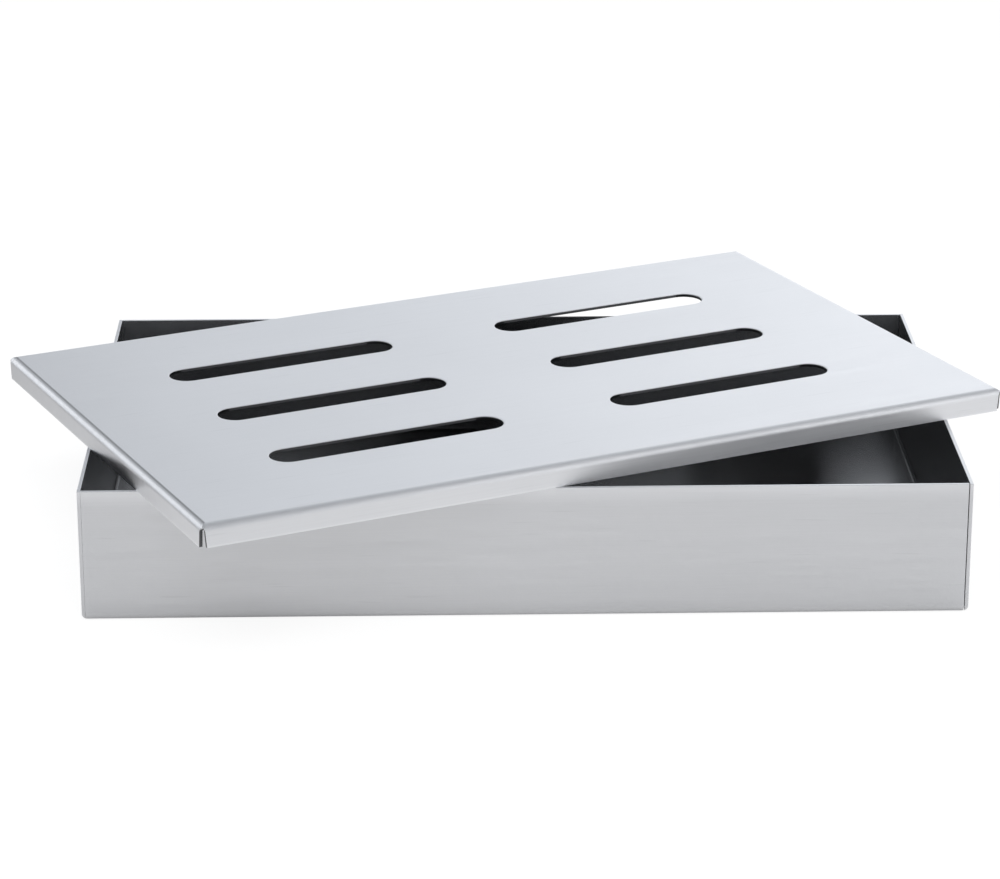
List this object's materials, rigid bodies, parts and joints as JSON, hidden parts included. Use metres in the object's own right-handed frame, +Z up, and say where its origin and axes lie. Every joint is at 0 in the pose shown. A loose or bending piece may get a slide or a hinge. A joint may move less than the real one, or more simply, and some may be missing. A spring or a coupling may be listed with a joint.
{
  "type": "smoker box",
  "caption": "Low rectangular smoker box of folded brushed stainless sheet: an open tray for wood chips and a slotted drop-over lid, shown laid askew on the rim.",
  "frame": {"origin": "middle of the tray's flat underside, which the box stands on", "axes": "+X along the tray's length, +Y across it towards its back, +Z up"},
  "size_m": [0.248, 0.2088, 0.0382],
  "materials": {
    "tray_sheet": "satin brushed stainless sheet, grain along the walls",
    "lid_sheet": "satin brushed stainless sheet, grain along the lid"
  },
  "bodies": {
    "tray": {"tray": "tray_sheet"},
    "lid": {"lid": "lid_sheet"}
  },
  "joints": [
    {"name": "lid_lift", "type": "slide", "parent": "tray", "child": "lid", "axis": [0, 0, 1], "range_m": [0, 0.08]}
  ]
}
